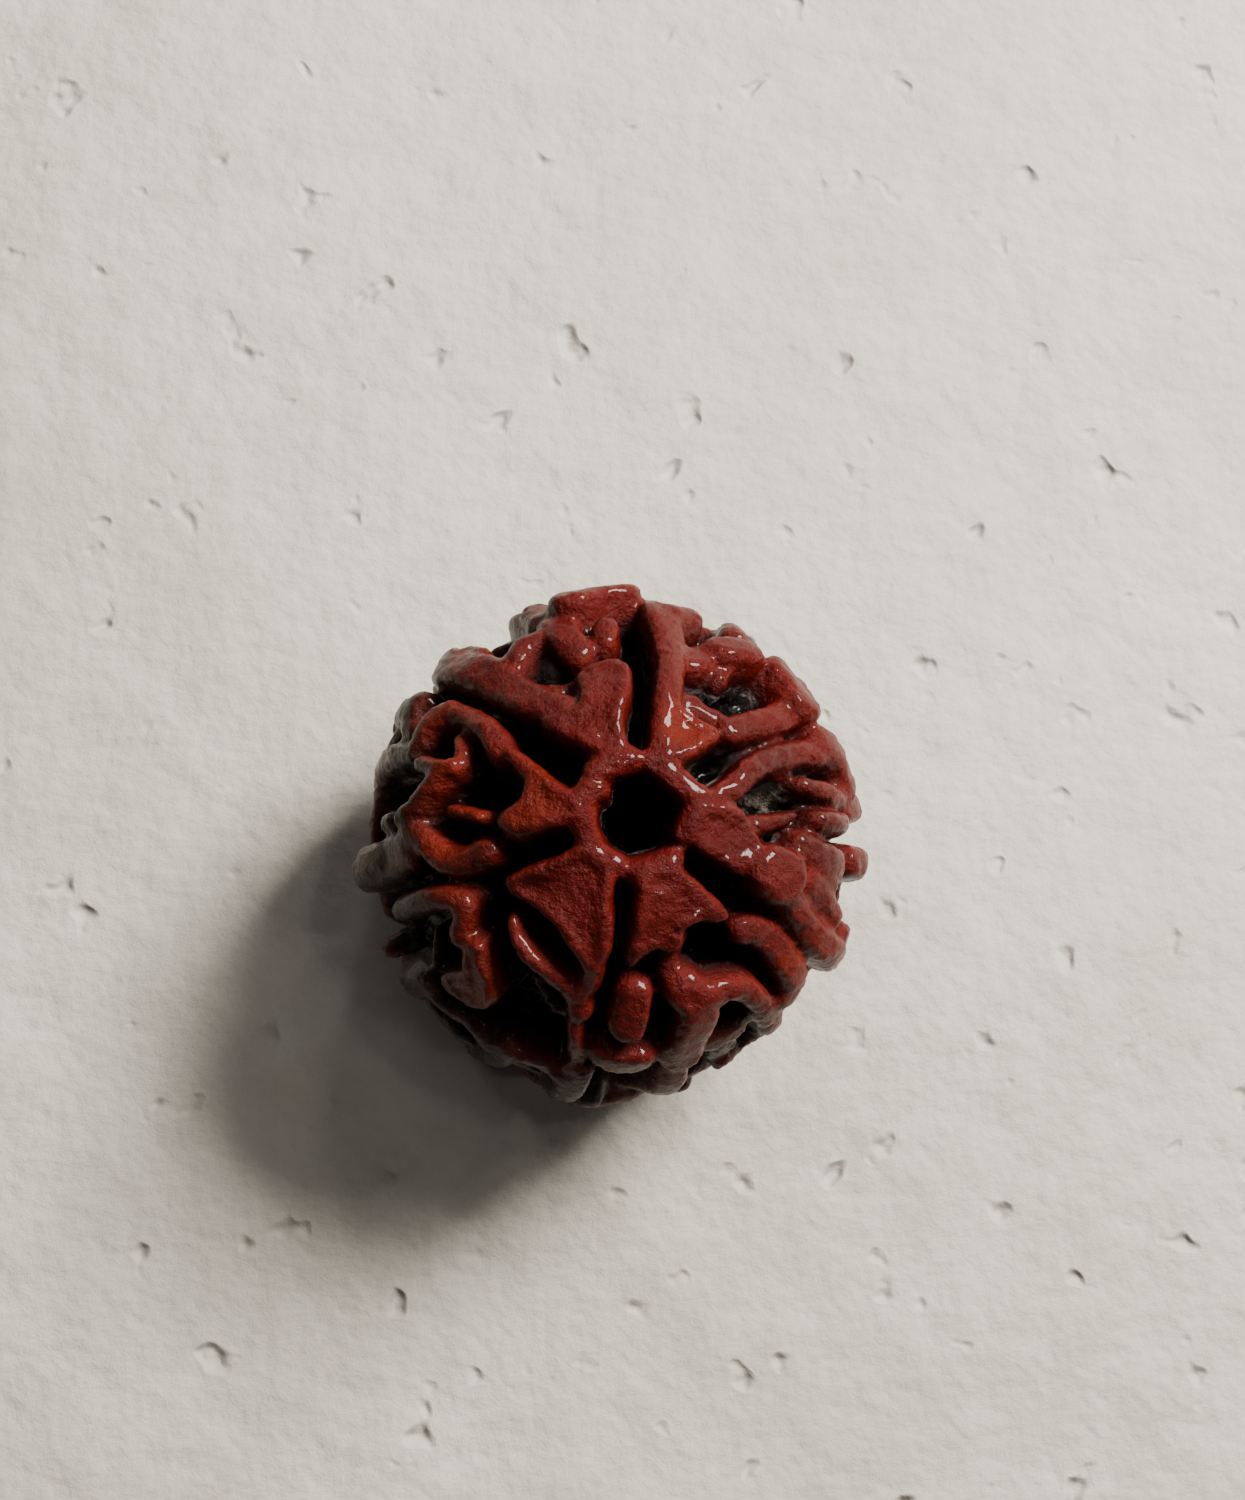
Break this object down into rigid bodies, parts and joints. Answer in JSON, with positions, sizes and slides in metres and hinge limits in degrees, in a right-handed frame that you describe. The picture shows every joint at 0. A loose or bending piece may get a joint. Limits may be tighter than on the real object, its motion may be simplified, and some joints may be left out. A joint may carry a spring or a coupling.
{
  "type": "rudraksha seed",
  "caption": "Dried rudraksha seed, a near-round deeply furrowed bead stone with branching ridges, meridian clefts between its faces and a natural bore from end to end.",
  "frame": {"origin": "centre of the bounding box in plan, on the plane that the seed stands on", "axes": "+Z up along the bore; +X to the right and +Y up in the reference picture, which looks down on the upper mouth of the bore"},
  "size_m": [0.022, 0.0222, 0.0191],
  "materials": {
    "seed": "oiled and glossy on the ridges, dark and wet-looking in the furrows"
  },
  "bodies": {
    "root": {"rudraksha_seed": "seed"}
  },
  "joints": []
}
